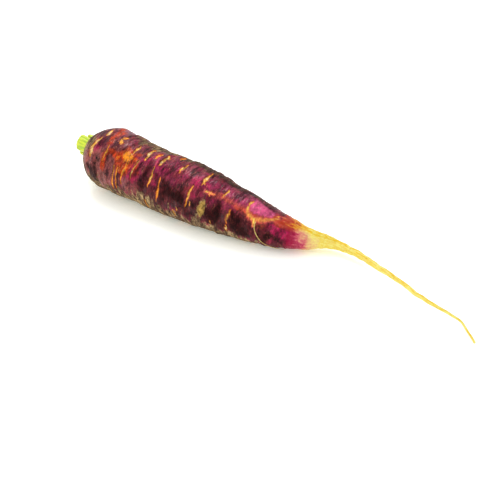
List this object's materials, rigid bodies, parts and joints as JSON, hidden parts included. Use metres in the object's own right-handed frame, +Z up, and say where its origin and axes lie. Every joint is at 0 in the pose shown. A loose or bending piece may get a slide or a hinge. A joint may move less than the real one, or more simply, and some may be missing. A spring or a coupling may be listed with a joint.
{
  "type": "carrot",
  "caption": "Long purple carrot lying on its side: tapered root with a thin yellow tap-root tail and a short stub of trimmed green leaf stalks.",
  "frame": {"origin": "middle of the bounding box's footprint, on the surface the carrot lies on", "axes": "+X from the crown towards the tail tip, +Z up from the surface, +Y to the left when looking along +X"},
  "size_m": [0.2394, 0.0374, 0.033],
  "materials": {
    "root_skin": "thin satin root skin, dark purple and magenta with yellow-orange cross scars, turning yellow along the tail",
    "stalk_green": "fresh leaf-stalk skin, lime green with fine ribs, pale moist cut ends",
    "stalk_heart": "young inner stalk, pale yellow-green, moist cut end"
  },
  "bodies": {
    "root": {"taproot": "root_skin", "leaf_stalk_1": "stalk_green", "leaf_stalk_2": "stalk_green", "leaf_stalk_3": "stalk_green", "leaf_stalk_4": "stalk_green", "leaf_stalk_5": "stalk_green", "leaf_stalk_6": "stalk_green", "leaf_stalk_heart": "stalk_heart"}
  },
  "joints": []
}
